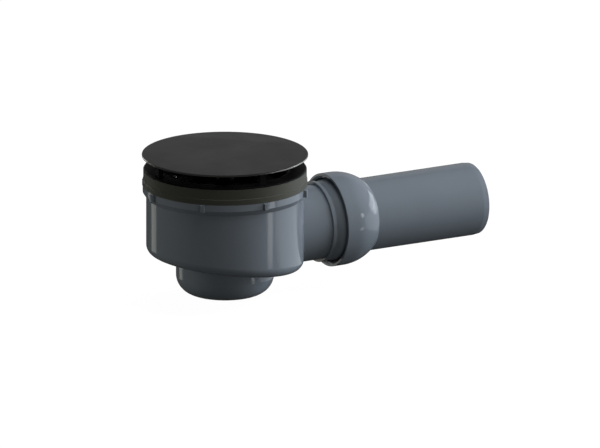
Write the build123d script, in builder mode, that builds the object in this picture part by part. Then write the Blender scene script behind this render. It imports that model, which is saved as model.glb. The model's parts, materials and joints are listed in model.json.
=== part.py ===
from build123d import *
import os
from math import radians, sqrt, tan

# Shower tray drain: a 90 mm trap under a round cover, with a ball-jointed DN 50 outlet pipe.
# Millimetres. The origin is on the inlet axis at the plane where the tray is clamped,
# +Z is up and +X runs along the outlet.

# Tray hole, and the width of the clamping rim round it
tray_hole_radius = 45.0
clamp_width = 9.0
wall = 2.5

# Clearances between pieces
seat_gap = 0.05
fit_gap = 0.1
slide_gap = 0.2
ball_gap = 0.3

# Tray seal
seal_overhang = 2.0
seal_pad = 3.0
seal_height = 10.8
seal_skirt = 3.1
seal_hole_margin = 1.2
seal_step = 0.4
seal_step_height = 3.6

# Body rim, under the seal
band_overhang = 2.4
band_height = 4.6
band_taper = 3.6
lip_thickness = 2.75
rim_wall = 3.0
rim_taper = 3.0

# Lugs round the rim
lug_count = 8
lug_width = 3.2
lug_drop = 0.2
lug_height = 4.8
lug_overhang = 4.6
lug_edge = 0.4

# Body, its sloping floor and its outlet stub
outlet_drop = 47.0
stub_radius = 26.0
stub_wall = 3.0
floor_slope = 7.45
floor_fillet = 7.4
bore_reach = 10.0

# Clamp flange
flange_inset = 0.4
rim_thickness = 1.0
rim_edge = 0.4
neck_gap = 0.8
neck_wall = 1.7
neck_bend = 4.0
flange_floor_drop = 10.5
flange_floor = 2.5
sleeve_wall = 1.6
sleeve_length = 8.0

# Clamp screws, their threaded inserts and the bosses for them
screw_count = 4
screw_first_angle = 45.0
screw_radius = 1.95
screw_length = 18.0
head_radius = 4.0
head_height = 2.6
head_edge = 1.0
recess_width = 1.1
recess_span = 4.4
recess_depth = 1.6
screw_hole_gap = 0.35
insert_wall = 0.75
insert_length = 8.0
boss_wall = 1.05
boss_gap = 0.5
boss_height = 17.5
web_thickness = 4.0
web_height = 13.0

# Trap insert: dip tube with its collar
collar_seat = 1.3
collar_height = 1.95
collar_width = 4.9
strainer_seat_depth = 2.5
strainer_seat = 1.8
o_ring_section = 2.4
groove_drop = 3.85
groove_width = 2.8
shoulder_drop = 8.0
cone_height = 5.0
dip_radius = 22.5
dip_wall = 2.0
handle_width = 4.0
handle_height = 3.0

# Trap cup, which holds the water seal
overflow_depth = 27.5
water_seal = 50.0
dip_gap = 5.5
cup_wall = 1.8
cup_floor = 1.6
cup_pass_gap = 2.0
cup_gap = 0.5
cup_floor_gap = 0.4
cup_fillet = 13.3
snap_count = 4
snap_depth = 0.8
snap_height = 2.5
snap_drop = 3.0
snap_web = 1.8
snap_reach = 2.0

# Hair strainer
strainer_wall = 1.2
strainer_depth = 4.2
strainer_hub_wall = 2.1
strainer_hub_rise = 9.0
slot_count = 20
slot_width = 2.2
slot_inner_margin = 4.0
slot_outer_margin = 1.6

# Cover and the spider that carries it
cover_overhang = 1.0
cover_height = 10.75
cover_thickness = 1.3
cover_top_edge = 0.5
cover_under_edge = 0.35
stem_radius = 4.0
stem_engagement = 7.5
stem_edge = 1.0
spider_hub_radius = 14.0
spider_thickness = 2.4
arm_count = 4
arm_width = 5.0
leg_inset = 2.1
leg_depth = 3.6

# Ball on the stub, and the ridge beside it
ball_reach = 86.9
ball_rise = 2.9
ball_end_width = 3.1
ridge_offset = 0.3
ridge_width = 2.9
ridge_rise = 1.9
ridge_edge = 0.3
ball_neck_drop = 0.6
ball_seal_centre = 5.2
ball_seal_width = 4.8
ball_seal_depth = 2.3

# Bell and outlet pipe
bell_wall = 3.0
mouth_depth = 7.9
mouth_edge = 0.3
mouth_lead_width = 1.4
mouth_lead_depth = 1.1
snap_ring_width = 3.0
snap_ring_lip = 1.4
snap_ring_depth = 1.65
snap_ring_split = 5.0
pipe_radius = 25.0
pipe_wall = 1.8
pipe_end = 194.05
pipe_taper = 4.5
pipe_taper_drop = 0.5
pipe_edge = 0.4

# Radii and heights that follow from the sizes above
body_radius = tray_hole_radius + clamp_width
inner_radius = body_radius - wall
seal_radius = body_radius + seal_overhang
skirt_radius = seal_radius + seal_step
seal_hole_radius = tray_hole_radius + seal_hole_margin
band_radius = body_radius + band_overhang
spigot_radius = seal_radius - seal_skirt - fit_gap
spigot_top = -seal_pad - seat_gap
band_bottom = -seal_height - band_height
taper_bottom = band_bottom - band_taper

neck_outer_radius = tray_hole_radius - neck_gap
neck_inner_radius = neck_outer_radius - neck_wall
screw_circle = neck_inner_radius - head_radius - slide_gap
collar_radius = screw_circle - head_radius - 2 * slide_gap
sleeve_bore = collar_radius - collar_seat
sleeve_radius = sleeve_bore + sleeve_wall
flange_floor_under = -flange_floor_drop - flange_floor
boss_top = flange_floor_under - boss_gap
insert_radius = screw_radius + fit_gap + insert_wall
boss_radius = insert_radius + boss_wall

dip_body_radius = sleeve_bore - slide_gap
collar_under = -flange_floor_drop + seat_gap
collar_top = collar_under + collar_height
funnel_radius = collar_radius - collar_width
funnel_bore = funnel_radius - strainer_seat
strainer_seat_height = collar_top - strainer_seat_depth
shoulder_height = collar_under - shoulder_drop
cone_bottom = shoulder_height - cone_height
dip_bore = dip_radius - dip_wall
dip_end = -overflow_depth - water_seal

trap_cup_radius = sleeve_bore - cup_pass_gap
trap_cup_bore = trap_cup_radius - cup_wall
trap_cup_bottom = dip_end - dip_gap - cup_floor
cup_radius = trap_cup_radius + cup_gap + wall
cup_bottom = trap_cup_bottom - cup_floor_gap - wall

floor_fall = tan(radians(floor_slope))
floor_centre = -(outlet_drop + stub_radius) + body_radius * floor_fall
floor_plane = Plane(origin=(0, 0, floor_centre), z_dir=(floor_fall, 0, 1))
inner_floor_plane = floor_plane.offset(wall)

stub_bore = stub_radius - stub_wall
ball_radius = stub_radius + ball_rise
bell_bore = ball_radius + ball_gap
bell_radius = bell_bore + bell_wall
pipe_bore = pipe_radius - pipe_wall
cover_radius = seal_radius + cover_overhang
cover_under = cover_height - cover_thickness
flange_radius = seal_radius - flange_inset

outlet_axis = Axis((0, 0, -outlet_drop), (1, 0, 0))


def sphere_radius_at(sphere, x):
    """Distance from the outlet axis of a sphere's surface, x along from its centre."""
    return sqrt(sphere**2 - x**2)


def sphere_reach_at(sphere, radius):
    """Distance along the outlet axis from a sphere's centre to where it has this radius."""
    return sqrt(sphere**2 - radius**2)


def outlet_point(x, radius):
    """Point of an outlet profile, x along from the ball's centre, on the plane Y = 0."""
    return (ball_reach + x, radius - outlet_drop)


def sphere_arc(sphere, start, end):
    """Arc of a sphere's outline between two places along the outlet axis."""
    middle = (start + end) / 2
    places = [outlet_point(x, sphere_radius_at(sphere, x)) for x in (start, middle, end)]
    return ThreePointArc(*places)


# Trap body: one moulding with the rim, the sloping floor, the cup, the stub and the ball
ridge_radius = stub_radius + ridge_rise
ball_neck_radius = stub_radius - ball_neck_drop
ball_start = -sphere_reach_at(ball_radius, ball_neck_radius)
ball_end = sphere_reach_at(ball_radius, stub_bore + ball_end_width)
ridge_end = ball_start - ridge_offset
ridge_start = ridge_end - ridge_width
stub_start = inner_radius - bore_reach - ball_reach
seal_groove_start = ball_seal_centre - ball_seal_width / 2 - seat_gap
seal_groove_end = ball_seal_centre + ball_seal_width / 2 + seat_gap
seal_groove_radius = sphere_radius_at(ball_radius, ball_seal_centre) - ball_seal_depth

with BuildPart() as trap_pot:
    with BuildSketch(Plane.XY.offset(taper_bottom)):
        Circle(body_radius)
    extrude(amount=2 * floor_centre)
    split(bisect_by=floor_plane, keep=Keep.TOP)
    fillet(trap_pot.faces().sort_by(Axis.Z)[0].edges(), floor_fillet)

with BuildPart() as trap_hollow:
    with BuildSketch(Plane.XY.offset(spigot_top - lip_thickness - rim_taper)):
        Circle(inner_radius)
    extrude(amount=2 * floor_centre)
    split(bisect_by=inner_floor_plane, keep=Keep.TOP)
    fillet(trap_hollow.faces().sort_by(Axis.Z)[0].edges(), floor_fillet - wall)

cup_top = floor_centre + cup_radius * floor_fall + wall
with BuildPart() as cup_hollow:
    with BuildSketch(Plane.XY.offset(cup_bottom + wall)):
        Circle(cup_radius - wall)
    extrude(amount=cup_top - cup_bottom)
    fillet(cup_hollow.faces().sort_by(Axis.Z)[0].edges(), cup_fillet - wall)

lug_top = -seal_height - lug_drop
with BuildPart() as lug:
    with BuildSketch(Plane.XZ):
        with BuildLine():
            Polyline(
                (body_radius - wall / 2, lug_top),
                (body_radius + lug_overhang, lug_top),
                (body_radius + lug_overhang, lug_top - lug_height),
                (body_radius - wall / 2, lug_top - lug_height),
                close=True,
            )
        make_face()
    extrude(amount=lug_width / 2, both=True)
    fillet(lug.faces().sort_by(Axis.X)[-1].edges(), lug_edge)

with BuildPart() as screw_pillar:
    with BuildSketch(Plane.XY.offset(boss_top)):
        with Locations((screw_circle, 0)):
            Circle(boss_radius)
    extrude(amount=-boss_height)
    with BuildSketch(Plane.XY.offset(boss_top)):
        with Locations((screw_circle, 0)):
            web_length = inner_radius + wall / 2 - screw_circle
            Rectangle(web_length, web_thickness, align=(Align.MIN, Align.CENTER))
    extrude(amount=-web_height)

with BuildPart() as trap_body:
    add(trap_pot.part)
    with BuildSketch(Plane.XZ):
        with BuildLine():
            Polyline(
                (seal_hole_radius, spigot_top),
                (spigot_radius, spigot_top),
                (spigot_radius, -seal_height),
                (band_radius, -seal_height),
                (band_radius, band_bottom),
                (body_radius, taper_bottom),
                (inner_radius, taper_bottom),
                (inner_radius, spigot_top - lip_thickness - rim_taper),
                (spigot_radius - rim_wall, spigot_top - lip_thickness),
                (seal_hole_radius, spigot_top - lip_thickness),
                close=True,
            )
        make_face()
    revolve(axis=Axis.Z)
    with BuildSketch(Plane.XY.offset(cup_bottom)):
        Circle(cup_radius)
    extrude(amount=cup_top - cup_bottom)
    fillet(trap_body.faces().sort_by(Axis.Z)[0].edges(), cup_fillet)
    with BuildSketch(Plane.XZ):
        with BuildLine():
            Polyline(
                outlet_point(stub_start, stub_bore),
                outlet_point(stub_start, stub_radius),
                outlet_point(ridge_start, stub_radius),
                outlet_point(ridge_start, ridge_radius - ridge_edge),
                outlet_point(ridge_start + ridge_edge, ridge_radius),
                outlet_point(ridge_end - ridge_edge, ridge_radius),
                outlet_point(ridge_end, ridge_radius - ridge_edge),
                outlet_point(ridge_end, ball_neck_radius),
                outlet_point(ball_start, ball_neck_radius),
            )
            sphere_arc(ball_radius, ball_start, seal_groove_start)
            Polyline(
                outlet_point(seal_groove_start, sphere_radius_at(ball_radius, seal_groove_start)),
                outlet_point(seal_groove_start, seal_groove_radius),
                outlet_point(seal_groove_end, seal_groove_radius),
                outlet_point(seal_groove_end, sphere_radius_at(ball_radius, seal_groove_end)),
            )
            sphere_arc(ball_radius, seal_groove_end, ball_end)
            Polyline(
                outlet_point(ball_end, sphere_radius_at(ball_radius, ball_end)),
                outlet_point(ball_end, stub_bore),
                outlet_point(stub_start, stub_bore),
            )
        make_face()
    revolve(axis=outlet_axis)
    add(trap_hollow.part, mode=Mode.SUBTRACT)
    add(cup_hollow.part, mode=Mode.SUBTRACT)
    with BuildSketch(Plane.YZ.offset(ball_reach + stub_start)):
        with Locations((0, -outlet_drop)):
            Circle(stub_bore)
    extrude(amount=-stub_start, mode=Mode.SUBTRACT)
    with PolarLocations(0, lug_count):
        add(lug.part)
    with PolarLocations(0, screw_count, start_angle=screw_first_angle):
        add(screw_pillar.part)
    with BuildSketch(Plane.XY.offset(boss_top)):
        with PolarLocations(screw_circle, screw_count, start_angle=screw_first_angle):
            Circle(insert_radius + seat_gap)
    extrude(amount=-insert_length - seat_gap, mode=Mode.SUBTRACT)
    with BuildSketch(Plane.XY.offset(boss_top)):
        with PolarLocations(screw_circle, screw_count, start_angle=screw_first_angle):
            Circle(screw_radius + screw_hole_gap)
    extrude(amount=-(screw_length - flange_floor), mode=Mode.SUBTRACT)
trap_body.part.label = "trap_body"

# Tray seal: a rubber ring that caps the body's rim and carries the tray
with BuildPart() as tray_seal:
    with BuildSketch(Plane.XZ):
        with BuildLine():
            Polyline(
                (seal_hole_radius, 0),
                (seal_radius, 0),
                (seal_radius, seal_step_height + seal_step - seal_height),
                (skirt_radius, seal_step_height - seal_height),
                (skirt_radius, -seal_height),
                (spigot_radius + fit_gap, -seal_height),
                (spigot_radius + fit_gap, -seal_pad),
                (seal_hole_radius, -seal_pad),
                close=True,
            )
        make_face()
    revolve(axis=Axis.Z)
tray_seal.part.label = "tray_seal"

# Clamp flange: rim on the tray, neck through its hole, and a floor for the screws
with BuildPart() as clamp_flange:
    with BuildSketch(Plane.XZ):
        with BuildLine():
            Polyline(
                (neck_inner_radius, rim_thickness - neck_bend),
                (neck_inner_radius, -flange_floor_drop),
                (sleeve_bore, -flange_floor_drop),
                (sleeve_bore, flange_floor_under - sleeve_length),
                (sleeve_radius, flange_floor_under - sleeve_length),
                (sleeve_radius, flange_floor_under),
                (neck_outer_radius, flange_floor_under),
                (neck_outer_radius, 0),
                (flange_radius, 0),
                (flange_radius, rim_thickness - rim_edge),
                (flange_radius - rim_edge, rim_thickness),
                (neck_inner_radius + neck_bend, rim_thickness),
            )
            RadiusArc(
                (neck_inner_radius + neck_bend, rim_thickness),
                (neck_inner_radius, rim_thickness - neck_bend),
                -neck_bend,
            )
        make_face()
    revolve(axis=Axis.Z)
    with BuildSketch(Plane.XY.offset(-flange_floor_drop)):
        with PolarLocations(screw_circle, screw_count, start_angle=screw_first_angle):
            Circle(screw_radius + screw_hole_gap)
    extrude(amount=-flange_floor, mode=Mode.SUBTRACT)
clamp_flange.part.label = "clamp_flange"

# Clamp screws and the threaded inserts that they pull on
screw_pieces = []
for number, place in enumerate(PolarLocations(screw_circle, screw_count, start_angle=screw_first_angle), 1):
    with BuildPart() as clamp_screw:
        with BuildSketch(Plane.XY.offset(-flange_floor_drop)):
            Circle(head_radius)
        extrude(amount=head_height)
        fillet(clamp_screw.faces().sort_by(Axis.Z)[-1].edges(), head_edge)
        with BuildSketch(Plane.XY.offset(head_height - flange_floor_drop)):
            Rectangle(recess_span, recess_width)
            Rectangle(recess_width, recess_span)
        extrude(amount=-recess_depth, mode=Mode.SUBTRACT)
        with BuildSketch(Plane.XY.offset(-flange_floor_drop)):
            Circle(screw_radius)
        extrude(amount=-screw_length)
        chamfer(clamp_screw.faces().sort_by(Axis.Z)[0].edges(), screw_hole_gap)
    with BuildPart() as threaded_insert:
        with BuildSketch(Plane.XY.offset(boss_top)):
            Circle(insert_radius)
            Circle(screw_radius + fit_gap, mode=Mode.SUBTRACT)
        extrude(amount=-insert_length)
    clamp_screw.part.label = f"clamp_screw_{number}"
    threaded_insert.part.label = f"threaded_insert_{number}"
    screw_pieces.append(clamp_screw.part.moved(place))
    screw_pieces.append(threaded_insert.part.moved(place))

# Dip tube: collar on the flange's floor, funnel, tube down into the trap cup, and snap ribs
groove_top = collar_under - groove_drop
groove_radius = sleeve_bore - fit_gap - o_ring_section - seat_gap
snap_bottom = -overflow_depth - snap_drop - snap_height - snap_reach
snap_radius = trap_cup_bore + snap_depth
with BuildPart() as snap_rib:
    with BuildSketch(Plane.XZ):
        with BuildLine():
            Polyline(
                (dip_radius - dip_wall / 2, snap_bottom),
                (trap_cup_bore - slide_gap, snap_bottom),
                (trap_cup_bore - slide_gap, -overflow_depth - snap_drop - snap_height + seat_gap),
                (snap_radius - slide_gap, -overflow_depth - snap_drop - snap_height / 2),
                (trap_cup_bore - slide_gap, -overflow_depth - snap_drop - seat_gap),
                (trap_cup_bore - slide_gap, seat_gap - overflow_depth),
                (trap_cup_radius, seat_gap - overflow_depth),
                (trap_cup_radius, shoulder_height),
                (dip_radius - dip_wall / 2, cone_bottom + cone_height / 2),
                close=True,
            )
        make_face()
    extrude(amount=snap_web / 2, both=True)

with BuildPart() as dip_tube:
    with BuildSketch(Plane.XZ):
        with BuildLine():
            Polyline(
                (funnel_radius, collar_top),
                (collar_radius, collar_top),
                (collar_radius, collar_under),
                (dip_body_radius, collar_under),
                (dip_body_radius, groove_top),
                (groove_radius, groove_top),
                (groove_radius, groove_top - groove_width),
                (dip_body_radius, groove_top - groove_width),
                (dip_body_radius, shoulder_height),
                (dip_radius, cone_bottom),
                (dip_radius, dip_end),
                (dip_bore, dip_end),
                (dip_bore, cone_bottom + dip_wall),
                (funnel_bore, shoulder_height + dip_wall),
                (funnel_bore, strainer_seat_height),
                (funnel_radius, strainer_seat_height),
                close=True,
            )
        make_face()
    revolve(axis=Axis.Z)
    with PolarLocations(0, snap_count):
        add(snap_rib.part)
    with BuildSketch(Plane.XY.offset(cone_bottom)):
        Rectangle(handle_width, 2 * dip_radius - dip_wall)
    extrude(amount=-handle_height)
dip_tube.part.label = "dip_tube"

# O-ring in the dip tube's groove
with BuildPart() as dip_o_ring:
    with BuildSketch(Plane.XZ):
        with Locations((sleeve_bore - fit_gap - o_ring_section / 2, groove_top - groove_width / 2)):
            Circle(o_ring_section / 2)
    revolve(axis=Axis.Z)
dip_o_ring.part.label = "dip_o_ring"

# Trap cup: holds the water that the dip tube stands in
with BuildPart() as trap_cup_hollow:
    with BuildSketch(Plane.XY.offset(trap_cup_bottom + cup_floor)):
        Circle(trap_cup_bore)
    extrude(amount=-overflow_depth - trap_cup_bottom)
    fillet(trap_cup_hollow.faces().sort_by(Axis.Z)[0].edges(), cup_fillet - wall - cup_wall)

with BuildPart() as trap_cup:
    with BuildSketch(Plane.XY.offset(trap_cup_bottom)):
        Circle(trap_cup_radius)
    extrude(amount=-overflow_depth - trap_cup_bottom)
    fillet(trap_cup.faces().sort_by(Axis.Z)[0].edges(), cup_fillet - wall)
    add(trap_cup_hollow.part, mode=Mode.SUBTRACT)
    with BuildSketch(Plane.XZ):
        with BuildLine():
            Polyline(
                (trap_cup_bore - cup_wall, -overflow_depth - snap_drop),
                (trap_cup_bore, -overflow_depth - snap_drop),
                (snap_radius, -overflow_depth - snap_drop - snap_height / 2),
                (trap_cup_bore, -overflow_depth - snap_drop - snap_height),
                (trap_cup_bore - cup_wall, -overflow_depth - snap_drop - snap_height),
                close=True,
            )
        make_face()
    revolve(axis=Axis.Z, mode=Mode.SUBTRACT)
trap_cup.part.label = "trap_cup"

# Hair strainer: a slotted basket with a hub that guides the cover's stem
strainer_radius = funnel_radius - slide_gap
basket_radius = funnel_bore - slide_gap
strainer_bottom = strainer_seat_height - strainer_depth
hub_radius = stem_radius + fit_gap + strainer_hub_wall
slot_start = hub_radius + slot_inner_margin
slot_end = basket_radius - strainer_wall - slot_outer_margin
with BuildPart() as hair_strainer:
    with BuildSketch(Plane.XZ):
        with BuildLine():
            Polyline(
                (stem_radius + fit_gap, strainer_bottom),
                (basket_radius - strainer_wall, strainer_bottom),
                (basket_radius, strainer_bottom + strainer_wall),
                (basket_radius, strainer_seat_height),
                (strainer_radius, strainer_seat_height),
                (strainer_radius, strainer_seat_height + strainer_wall),
                (basket_radius - strainer_wall, strainer_seat_height + strainer_wall),
                (basket_radius - strainer_wall, strainer_bottom + strainer_wall),
                (hub_radius, strainer_bottom + strainer_wall),
                (hub_radius, strainer_bottom + strainer_hub_rise),
                (stem_radius + fit_gap, strainer_bottom + strainer_hub_rise),
                close=True,
            )
        make_face()
    revolve(axis=Axis.Z)
    with BuildSketch(Plane.XY.offset(strainer_bottom)):
        with PolarLocations((slot_start + slot_end) / 2, slot_count):
            SlotOverall(slot_end - slot_start, slot_width)
    extrude(amount=strainer_wall, mode=Mode.SUBTRACT)
hair_strainer.part.label = "hair_strainer"

# Cover plate: a flat disc with a rounded edge
with BuildPart() as cover_plate:
    with BuildSketch(Plane.XY.offset(cover_under)):
        Circle(cover_radius)
    extrude(amount=cover_thickness)
    fillet(cover_plate.faces().sort_by(Axis.Z)[-1].edges(), cover_top_edge)
    fillet(cover_plate.faces().sort_by(Axis.Z)[0].edges(), cover_under_edge)
cover_plate.part.label = "cover_plate"

# Cover spider: hub, arms and legs that stand on the flange, and the stem that centres the cover
leg_radius = flange_radius - leg_inset
leg_foot = rim_thickness + seat_gap
stem_end = strainer_bottom + strainer_hub_rise - stem_engagement
with BuildPart() as cover_spider:
    with BuildSketch(Plane.XY.offset(cover_under)):
        Circle(spider_hub_radius)
        for number in range(arm_count // 2):
            Rectangle(2 * leg_radius, arm_width, rotation=number * 360 / arm_count)
    extrude(amount=-spider_thickness)
    with BuildSketch(Plane.XY.offset(cover_under - spider_thickness)):
        with PolarLocations(leg_radius - leg_depth / 2, arm_count):
            Rectangle(leg_depth, arm_width)
    extrude(amount=-(cover_under - spider_thickness - leg_foot))
    with BuildSketch(Plane.XY.offset(cover_under - spider_thickness)):
        Circle(stem_radius)
    extrude(amount=-(cover_under - spider_thickness - stem_end))
    chamfer(cover_spider.faces().sort_by(Axis.Z)[0].edges(), stem_edge)
cover_spider.part.label = "cover_spider"

# Ball seal: a ring in the ball's groove, rounded to the bell's bore
with BuildPart() as ball_seal:
    seal_start = ball_seal_centre - ball_seal_width / 2
    seal_end = ball_seal_centre + ball_seal_width / 2
    seal_sphere = bell_bore - fit_gap
    with BuildSketch(Plane.XZ):
        with BuildLine():
            sphere_arc(seal_sphere, seal_start, seal_end)
            Polyline(
                outlet_point(seal_end, sphere_radius_at(seal_sphere, seal_end)),
                outlet_point(seal_end, seal_groove_radius + seat_gap),
                outlet_point(seal_start, seal_groove_radius + seat_gap),
                outlet_point(seal_start, sphere_radius_at(seal_sphere, seal_start)),
            )
        make_face()
    revolve(axis=outlet_axis)
ball_seal.part.label = "ball_seal"

# Snap ring: a split ring in the bell's groove, behind which the ball is held
ring_start = snap_ring_lip - mouth_depth
ring_end = ring_start + snap_ring_width
ring_groove_radius = bell_bore + snap_ring_depth
with BuildPart() as snap_ring:
    with BuildSketch(Plane.XZ):
        with BuildLine():
            sphere_arc(bell_bore, ring_start + seat_gap, ring_end - seat_gap)
            Polyline(
                outlet_point(ring_end - seat_gap, sphere_radius_at(bell_bore, ring_end - seat_gap)),
                outlet_point(ring_end - seat_gap, ring_groove_radius - fit_gap),
                outlet_point(ring_start + seat_gap, ring_groove_radius - fit_gap),
                outlet_point(ring_start + seat_gap, sphere_radius_at(bell_bore, ring_start + seat_gap)),
            )
        make_face()
    revolve(axis=outlet_axis)
    with BuildSketch(Plane.XY.offset(-outlet_drop)):
        with Locations((ball_reach + (ring_start + ring_end) / 2, 0)):
            Rectangle(2 * snap_ring_width, snap_ring_split)
    extrude(amount=-bell_radius, mode=Mode.SUBTRACT)
snap_ring.part.label = "snap_ring"

# Outlet pipe: a bell, round behind and straight at its mouth, and a DN 50 pipe end
bell_end = sphere_reach_at(bell_radius, pipe_radius)
bore_start = sphere_reach_at(bell_bore, pipe_bore)
pipe_length = pipe_end - ball_reach
with BuildPart() as outlet_pipe:
    with BuildSketch(Plane.XZ):
        with BuildLine():
            Polyline(
                outlet_point(bell_end, pipe_radius),
                outlet_point(pipe_length - pipe_taper, pipe_radius),
                outlet_point(pipe_length - pipe_edge, pipe_radius - pipe_taper_drop),
                outlet_point(pipe_length, pipe_radius - pipe_taper_drop - pipe_edge),
                outlet_point(pipe_length, pipe_bore),
                outlet_point(bore_start, pipe_bore),
            )
            sphere_arc(bell_bore, bore_start, 0)
            Polyline(
                outlet_point(0, bell_bore),
                outlet_point(ring_end, bell_bore),
                outlet_point(ring_end, ring_groove_radius),
                outlet_point(ring_start, ring_groove_radius),
                outlet_point(ring_start, bell_bore),
                outlet_point(mouth_lead_depth - mouth_depth, bell_bore),
                outlet_point(-mouth_depth, bell_bore + mouth_lead_width),
                outlet_point(-mouth_depth, bell_radius - mouth_edge),
                outlet_point(mouth_edge - mouth_depth, bell_radius),
                outlet_point(0, bell_radius),
            )
            sphere_arc(bell_radius, 0, bell_end)
        make_face()
    revolve(axis=outlet_axis)
outlet_pipe.part.label = "outlet_pipe"

os.makedirs("parts", exist_ok=True)
pieces = [
    trap_body.part,
    tray_seal.part,
    clamp_flange.part,
    *screw_pieces,
    dip_tube.part,
    dip_o_ring.part,
    trap_cup.part,
    hair_strainer.part,
    cover_plate.part,
    cover_spider.part,
    ball_seal.part,
    snap_ring.part,
    outlet_pipe.part,
]
for piece in pieces:
    export_step(piece, f"parts/{piece.label}.step")
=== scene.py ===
import json
import math

import bpy
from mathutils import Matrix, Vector


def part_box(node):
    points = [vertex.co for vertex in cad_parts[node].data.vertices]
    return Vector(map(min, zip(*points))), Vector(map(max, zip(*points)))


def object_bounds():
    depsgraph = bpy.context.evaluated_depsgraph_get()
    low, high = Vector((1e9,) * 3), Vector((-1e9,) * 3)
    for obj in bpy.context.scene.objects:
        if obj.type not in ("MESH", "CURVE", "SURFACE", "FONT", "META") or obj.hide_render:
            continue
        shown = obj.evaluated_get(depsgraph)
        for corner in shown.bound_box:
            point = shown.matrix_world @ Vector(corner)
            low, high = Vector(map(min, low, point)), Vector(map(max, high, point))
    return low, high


# Shower tray drain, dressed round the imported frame. Metres, in the frame's own axes: the origin
# is on the inlet axis at the tray's clamping plane, +Z is up and +X runs along the outlet.
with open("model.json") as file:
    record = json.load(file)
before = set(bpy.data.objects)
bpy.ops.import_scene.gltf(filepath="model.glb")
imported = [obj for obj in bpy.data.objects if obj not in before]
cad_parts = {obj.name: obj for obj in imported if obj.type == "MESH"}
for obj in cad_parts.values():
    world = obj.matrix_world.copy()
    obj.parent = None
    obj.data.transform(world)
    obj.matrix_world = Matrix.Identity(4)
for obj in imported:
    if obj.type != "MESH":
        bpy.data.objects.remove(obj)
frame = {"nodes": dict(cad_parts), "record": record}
cad_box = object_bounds()

# View of the photograph: a parallel projection from the front left, a little above
VIEW_AZIMUTH = math.radians(-29.3)
VIEW_ELEVATION = math.radians(15.4)
PIXELS_PER_METRE = 1461.3
PHOTO_WIDTH = 600
COVER_CENTRE_PIXEL = (224.5, 153.05)
PHOTO_CENTRE_PIXEL = (299.5, 223.5)
CAMERA_DISTANCE = 1.2
CLIP_NEAR = 0.01
CLIP_FAR = 20

# Strength of the white world, as light on the object and as what stands behind it
STUDIO_LEVEL = 0.03
BACKDROP_LEVEL = 1.0
WHITE = (1, 1, 1, 1)

# Colours of the lights
NEUTRAL = (1.0, 1.0, 1.0)
WARM = (1.0, 0.99, 0.9)
COOL = (0.96, 1.0, 1.05)

FLOOR_SIZE = 6.0
# The tilted pipe dips lower than the cup, and has to stay clear of the floor
FLOOR_GAP = 0.007
# The floor glows white for the camera alone, and returns little of the lights to the object
FLOOR_GLOW = 0.98
FLOOR_GREY = (0.07, 0.07, 0.07, 1)

# Nearly all of a noise's values lie between these
NOISE_LOW = 0.3
NOISE_HIGH = 0.7
BUMP_STRENGTH = 0.3

# Moulded pieces: ripples per metre and detail of the mottle, and the gloss's uneven share
MOTTLE_SCALE = 40
MOTTLE_DETAIL = 3
GRAIN_DETAIL = 2
MOULDED_UNEVEN = 0.1

# Turned metal: ripples per metre of the tool marks, drawn out into rings round the Z axis
MARKS_SCALE = 900
MARKS_DETAIL = 2
MARKS_STRETCH = (0.2, 0.2, 4)
MARKS_HEIGHT = 0.00002
MARKS_TINT = 0.08
METAL_UNEVEN = 0.2

# Width of the cover's rim that shows bare steel
BARE_EDGE = 0.00025
BARE_ROUGHNESS = 0.3

# Facets' edges that lie closer than this are one
WELD_DISTANCE = 1e-6
# The pipe is smoothed less than the rest, to keep the shallow crease where its lead-in starts
SMOOTH_ANGLE = math.radians(28)
PIPE_SMOOTH_ANGLE = math.radians(6)


def from_srgb(red, green, blue):
    """A colour given as 0 to 255 sRGB, as the linear colour that a shader takes."""
    parts = []
    for value in (red, green, blue):
        share = value / 255
        parts.append(share / 12.92 if share <= 0.04045 else ((share + 0.055) / 1.055) ** 2.4)
    return (*parts, 1.0)


GREY = from_srgb(112, 120, 129)
BLACK = from_srgb(14, 14, 15)
OLIVE = from_srgb(64, 65, 59)
RUBBER = from_srgb(24, 24, 24)
COVER_BLACK = from_srgb(30, 30, 31)
STEEL = from_srgb(176, 175, 172)
BRASS = from_srgb(196, 160, 92)


def view_axes(azimuth, elevation):
    """Right, up and backward directions of a camera that looks down on the object from there."""
    right = Vector((math.cos(azimuth), math.sin(azimuth), 0))
    back = Vector(
        (
            math.sin(azimuth) * math.cos(elevation),
            -math.cos(azimuth) * math.cos(elevation),
            math.sin(elevation),
        )
    )
    return right, back.cross(right), back


def make_camera():
    """Parallel camera, placed so that the cover's centre falls on its pixel of the photograph."""
    right, up, back = view_axes(VIEW_AZIMUTH, VIEW_ELEVATION)
    cover_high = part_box("cover_plate")[1]
    cover_centre = Vector((0, 0, cover_high.z))
    across = (PHOTO_CENTRE_PIXEL[0] - COVER_CENTRE_PIXEL[0]) / PIXELS_PER_METRE
    down = (PHOTO_CENTRE_PIXEL[1] - COVER_CENTRE_PIXEL[1]) / PIXELS_PER_METRE
    data = bpy.data.cameras.new("camera")
    data.type = "ORTHO"
    data.ortho_scale = PHOTO_WIDTH / PIXELS_PER_METRE
    data.clip_start = CLIP_NEAR
    data.clip_end = CLIP_FAR
    camera = bpy.data.objects.new("camera", data)
    bpy.context.scene.collection.objects.link(camera)
    camera.location = cover_centre + right * across - up * down + back * CAMERA_DISTANCE
    camera.rotation_mode = "QUATERNION"
    camera.rotation_quaternion = (-back).to_track_quat("-Z", "Y")
    bpy.context.scene.camera = camera


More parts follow.
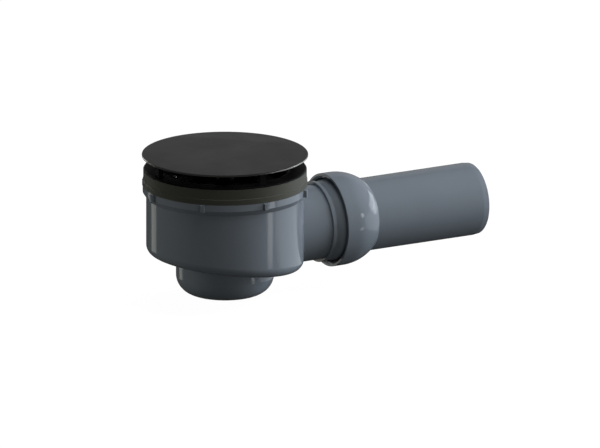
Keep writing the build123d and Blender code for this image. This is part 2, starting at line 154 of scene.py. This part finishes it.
def noise(tree, scale, detail, stretch=(1, 1, 1)):
    """Noise in the object's own coordinates, whose scale is in ripples per metre."""
    place = tree.nodes.new("ShaderNodeTexCoord")
    mapping = tree.nodes.new("ShaderNodeMapping")
    mapping.inputs["Scale"].default_value = stretch
    texture = tree.nodes.new("ShaderNodeTexNoise")
    texture.inputs["Scale"].default_value = scale
    texture.inputs["Detail"].default_value = detail
    tree.links.new(place.outputs["Object"], mapping.inputs["Vector"])
    tree.links.new(mapping.outputs["Vector"], texture.inputs["Vector"])
    return texture.outputs["Fac"]


def vary(tree, value, source, share):
    """The value, made lower and higher by a share as a noise goes down and up."""
    spread = tree.nodes.new("ShaderNodeMapRange")
    spread.inputs["From Min"].default_value = NOISE_LOW
    spread.inputs["From Max"].default_value = NOISE_HIGH
    spread.inputs["To Min"].default_value = value * (1 - share)
    spread.inputs["To Max"].default_value = value * (1 + share)
    tree.links.new(source, spread.inputs["Value"])
    return spread.outputs["Result"]


def tint(tree, colour, source, share):
    """The colour, made darker and lighter by a share as a noise goes down and up."""
    ramp = tree.nodes.new("ShaderNodeValToRGB")
    dark, light = ramp.color_ramp.elements
    for element, position, factor in ((dark, NOISE_LOW, 1 - share), (light, NOISE_HIGH, 1 + share)):
        element.position = position
        element.color = (*(part * factor for part in colour[:3]), 1)
    tree.links.new(source, ramp.inputs["Fac"])
    return ramp.outputs["Color"]


def bump(tree, source, height):
    """Normals of a height that follows a noise, with its full height in metres."""
    node = tree.nodes.new("ShaderNodeBump")
    node.inputs["Strength"].default_value = BUMP_STRENGTH
    node.inputs["Distance"].default_value = height
    tree.links.new(source, node.inputs["Height"])
    return node.outputs["Normal"]


def moulded(
    tree,
    colour,
    roughness,
    specular=0.5,
    grain_scale=1800,
    grain_height=0.00002,
    mottle=0.03,
):
    """Shader of a moulding: a faint mottle, uneven gloss and a fine grain."""
    shader = tree.nodes.new("ShaderNodeBsdfPrincipled")
    cloud = noise(tree, MOTTLE_SCALE, MOTTLE_DETAIL)
    grain = noise(tree, grain_scale, GRAIN_DETAIL)
    gloss = vary(tree, roughness, cloud, MOULDED_UNEVEN)
    tree.links.new(tint(tree, colour, cloud, mottle), shader.inputs["Base Color"])
    tree.links.new(gloss, shader.inputs["Roughness"])
    tree.links.new(bump(tree, grain, grain_height), shader.inputs["Normal"])
    shader.inputs["Specular IOR Level"].default_value = specular
    return shader.outputs["BSDF"]


def metal(tree, colour, roughness):
    """Shader of turned metal, with fine rings of tool marks round its length."""
    shader = tree.nodes.new("ShaderNodeBsdfPrincipled")
    marks = noise(tree, MARKS_SCALE, MARKS_DETAIL, MARKS_STRETCH)
    tree.links.new(tint(tree, colour, marks, MARKS_TINT), shader.inputs["Base Color"])
    tree.links.new(vary(tree, roughness, marks, METAL_UNEVEN), shader.inputs["Roughness"])
    tree.links.new(bump(tree, marks, MARKS_HEIGHT), shader.inputs["Normal"])
    shader.inputs["Metallic"].default_value = 1.0
    return shader.outputs["BSDF"]


def coated_steel(tree, **coating):
    """Shader of coated sheet steel, with the bare edge left by the cut round the cover's rim."""
    coat = moulded(tree, **coating)
    cover_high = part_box("cover_plate")[1]
    place = tree.nodes.new("ShaderNodeTexCoord")
    level = tree.nodes.new("ShaderNodeVectorMath")
    level.operation = "MULTIPLY"
    level.inputs[1].default_value = (1, 1, 0)
    radius = tree.nodes.new("ShaderNodeVectorMath")
    radius.operation = "LENGTH"
    bare = tree.nodes.new("ShaderNodeMath")
    bare.operation = "GREATER_THAN"
    bare.inputs[1].default_value = cover_high.x - BARE_EDGE
    edge = tree.nodes.new("ShaderNodeBsdfPrincipled")
    edge.inputs["Base Color"].default_value = STEEL
    edge.inputs["Metallic"].default_value = 1.0
    edge.inputs["Roughness"].default_value = BARE_ROUGHNESS
    mix = tree.nodes.new("ShaderNodeMixShader")
    tree.links.new(place.outputs["Object"], level.inputs[0])
    tree.links.new(level.outputs["Vector"], radius.inputs[0])
    tree.links.new(radius.outputs["Value"], bare.inputs[0])
    tree.links.new(bare.outputs["Value"], mix.inputs["Fac"])
    tree.links.new(coat, mix.inputs[1])
    tree.links.new(edge.outputs["BSDF"], mix.inputs[2])
    return mix.outputs["Shader"]


# Each slot's shader and its look, with grain scales in ripples per metre and heights in metres
LOOKS = {
    "grey_plastic": (
        moulded,
        {"colour": GREY, "roughness": 0.1, "grain_height": 0.00001, "mottle": 0.015},
    ),
    "black_plastic": (
        moulded,
        {"colour": BLACK, "roughness": 0.5, "specular": 0.12},
    ),
    "seal_rubber": (
        moulded,
        {"colour": OLIVE, "roughness": 0.48, "grain_scale": 1200, "grain_height": 0.00004},
    ),
    "black_rubber": (
        moulded,
        {
            "colour": RUBBER,
            "roughness": 0.6,
            "specular": 0.3,
            "grain_scale": 1200,
            "grain_height": 0.00004,
        },
    ),
    "cover_black": (
        coated_steel,
        {"colour": COVER_BLACK, "roughness": 0.36, "grain_scale": 2600, "grain_height": 0.00001},
    ),
    "stainless": (metal, {"colour": STEEL, "roughness": 0.42}),
    "insert_brass": (metal, {"colour": BRASS, "roughness": 0.3}),
}


def new_material(name):
    """A material, its node tree with nothing but an output, and the output's surface."""
    material = bpy.data.materials.new(name)
    material.use_nodes = True
    tree = material.node_tree
    tree.nodes.clear()
    output = tree.nodes.new("ShaderNodeOutputMaterial")
    return material, tree, output.inputs["Surface"]


def make_materials():
    """The material of every slot."""
    made = {}
    for slot, (make_shader, look) in LOOKS.items():
        made[slot], tree, surface = new_material(slot)
        tree.links.new(make_shader(tree, **look), surface)
    return made


def smooth_by_angle(sharpest):
    """A node group that shades a mesh smooth, apart from edges sharper than the angle."""
    group = bpy.data.node_groups.new("smooth_by_angle", "GeometryNodeTree")
    group.interface.new_socket("Geometry", in_out="INPUT", socket_type="NodeSocketGeometry")
    group.interface.new_socket("Geometry", in_out="OUTPUT", socket_type="NodeSocketGeometry")
    start = group.nodes.new("NodeGroupInput")
    end = group.nodes.new("NodeGroupOutput")
    faces = group.nodes.new("GeometryNodeSetShadeSmooth")
    faces.domain = "FACE"
    edges = group.nodes.new("GeometryNodeSetShadeSmooth")
    edges.domain = "EDGE"
    angle = group.nodes.new("GeometryNodeInputMeshEdgeAngle")
    sharp = group.nodes.new("FunctionNodeCompare")
    sharp.data_type = "FLOAT"
    sharp.operation = "LESS_THAN"
    sharp.inputs["B"].default_value = sharpest
    group.links.new(angle.outputs["Unsigned Angle"], sharp.inputs["A"])
    group.links.new(start.outputs[0], faces.inputs["Geometry"])
    group.links.new(faces.outputs["Geometry"], edges.inputs["Geometry"])
    group.links.new(sharp.outputs["Result"], edges.inputs["Shade Smooth"])
    group.links.new(edges.outputs["Geometry"], end.inputs[0])
    return group


def shade(piece, group):
    """Joins the facets' edges and shades the piece smooth between its real edges."""
    weld = piece.modifiers.new("weld", "WELD")
    weld.merge_threshold = WELD_DISTANCE
    smooth = piece.modifiers.new("smooth", "NODES")
    smooth.node_group = group


def dress_frame():
    """Gives every CAD node the material of its slot in the record."""
    materials = make_materials()
    smooth_group = smooth_by_angle(SMOOTH_ANGLE)
    pipe_smooth_group = smooth_by_angle(PIPE_SMOOTH_ANGLE)
    for subpart in frame["record"]["subparts"]:
        node = frame["nodes"][subpart["node"]]
        node.data.materials.clear()
        node.data.materials.append(materials[subpart["material_slot"]])
        shade(node, pipe_smooth_group if subpart["node"] == "outlet_pipe" else smooth_group)


def area_light(name, azimuth, elevation, distance, size, power, kind, colour):
    """A soft box that faces the object from a direction given round the photograph's view.

    A fill lights the surfaces and leaves no reflection, and a sheen does the reverse.
    """
    back = view_axes(VIEW_AZIMUTH + math.radians(azimuth), math.radians(elevation))[2]
    data = bpy.data.lights.new(name, "AREA")
    data.shape = "RECTANGLE"
    data.size, data.size_y = size
    data.energy = power
    data.color = colour
    light = bpy.data.objects.new(name, data)
    bpy.context.scene.collection.objects.link(light)
    centre = (cad_box[0] + cad_box[1]) / 2
    light.location = centre + back * distance
    light.rotation_mode = "QUATERNION"
    light.rotation_quaternion = back.to_track_quat("Z", "Y")
    light.visible_glossy = kind == "sheen"
    light.visible_diffuse = kind == "fill"


# Name, azimuth and elevation in degrees, distance from the object's centre, width and height
# in metres, power in watts, kind and colour
LIGHTS = [
    ("key", 108, 4, 1.3, (0.9, 0.5), 17.2, "fill", COOL),
    ("right", 90, 33, 1.3, (0.7, 0.6), 6.5, "fill", NEUTRAL),
    ("top", 50, 66, 1.3, (0.8, 0.8), 7.0, "fill", NEUTRAL),
    ("back", 160, 60, 1.3, (0.8, 0.8), 3.5, "fill", NEUTRAL),
    ("left", -100, 4, 1.3, (0.6, 0.5), 5.7, "fill", WARM),
    ("front", 20, 4, 1.3, (0.9, 0.5), 2.3, "fill", WARM),
    ("window_high", 122.5, 13.5, 1.3, (0.86, 0.28), 1.8, "sheen", COOL),
    ("window_low", 119, 3.5, 1.3, (0.36, 0.2), 0.5, "sheen", COOL),
    ("spot", 72, 10.5, 0.7, (0.09, 0.09), 0.11, "sheen", NEUTRAL),
    ("right_panel", 121, -6, 1.3, (2.4, 0.75), 4.0, "sheen", COOL),
    ("right_strip", 68.5, -15.4, 3.0, (0.46, 0.3), 0.85, "sheen", NEUTRAL),
    ("left_strip", -124.5, -15.4, 1.3, (0.34, 0.16), 0.13, "sheen", WARM),
    ("left_edge", -138, 6, 1.3, (0.4, 0.25), 1.2, "sheen", NEUTRAL),
    ("back_panel", 180, 16, 1.3, (2.2, 0.9), 1.4, "sheen", NEUTRAL),
]


def make_world():
    """White behind the object, and a dim even studio on it."""
    world = bpy.data.worlds.new("studio")
    bpy.context.scene.world = world
    world.use_nodes = True
    tree = world.node_tree
    tree.nodes.clear()
    output = tree.nodes.new("ShaderNodeOutputWorld")
    background = tree.nodes.new("ShaderNodeBackground")
    background.inputs["Color"].default_value = WHITE
    path = tree.nodes.new("ShaderNodeLightPath")
    seen = tree.nodes.new("ShaderNodeMath")
    seen.operation = "MAXIMUM"
    strength = tree.nodes.new("ShaderNodeMapRange")
    strength.inputs["To Min"].default_value = STUDIO_LEVEL
    strength.inputs["To Max"].default_value = BACKDROP_LEVEL
    tree.links.new(path.outputs["Is Camera Ray"], seen.inputs[0])
    tree.links.new(path.outputs["Is Transmission Ray"], seen.inputs[1])
    tree.links.new(seen.outputs["Value"], strength.inputs["Value"])
    tree.links.new(strength.outputs["Result"], background.inputs["Strength"])
    tree.links.new(background.outputs["Background"], output.inputs["Surface"])


def make_floor():
    """A plain white floor just under the cup, which keeps a trace of the object's shadow."""
    low = cad_box[0].z - FLOOR_GAP
    half = FLOOR_SIZE / 2
    mesh = bpy.data.meshes.new("floor")
    corners = [(-half, -half, low), (half, -half, low), (half, half, low), (-half, half, low)]
    mesh.from_pydata(corners, [], [(0, 1, 2, 3)])
    floor = bpy.data.objects.new("floor", mesh)
    bpy.context.scene.collection.objects.link(floor)
    material, tree, surface = new_material("floor")
    diffuse = tree.nodes.new("ShaderNodeBsdfDiffuse")
    diffuse.inputs["Color"].default_value = FLOOR_GREY
    white = tree.nodes.new("ShaderNodeEmission")
    white.inputs["Strength"].default_value = FLOOR_GLOW
    bright = tree.nodes.new("ShaderNodeAddShader")
    path = tree.nodes.new("ShaderNodeLightPath")
    mix = tree.nodes.new("ShaderNodeMixShader")
    tree.links.new(diffuse.outputs["BSDF"], bright.inputs[0])
    tree.links.new(white.outputs["Emission"], bright.inputs[1])
    tree.links.new(path.outputs["Is Camera Ray"], mix.inputs["Fac"])
    tree.links.new(diffuse.outputs["BSDF"], mix.inputs[1])
    tree.links.new(bright.outputs["Shader"], mix.inputs[2])
    tree.links.new(mix.outputs["Shader"], surface)
    mesh.materials.append(material)
    floor.visible_shadow = False
    floor.visible_glossy = False


make_camera()
make_world()
make_floor()
for light in LIGHTS:
    area_light(*light)
dress_frame()

bpy.context.scene.view_settings.view_transform = "Standard"
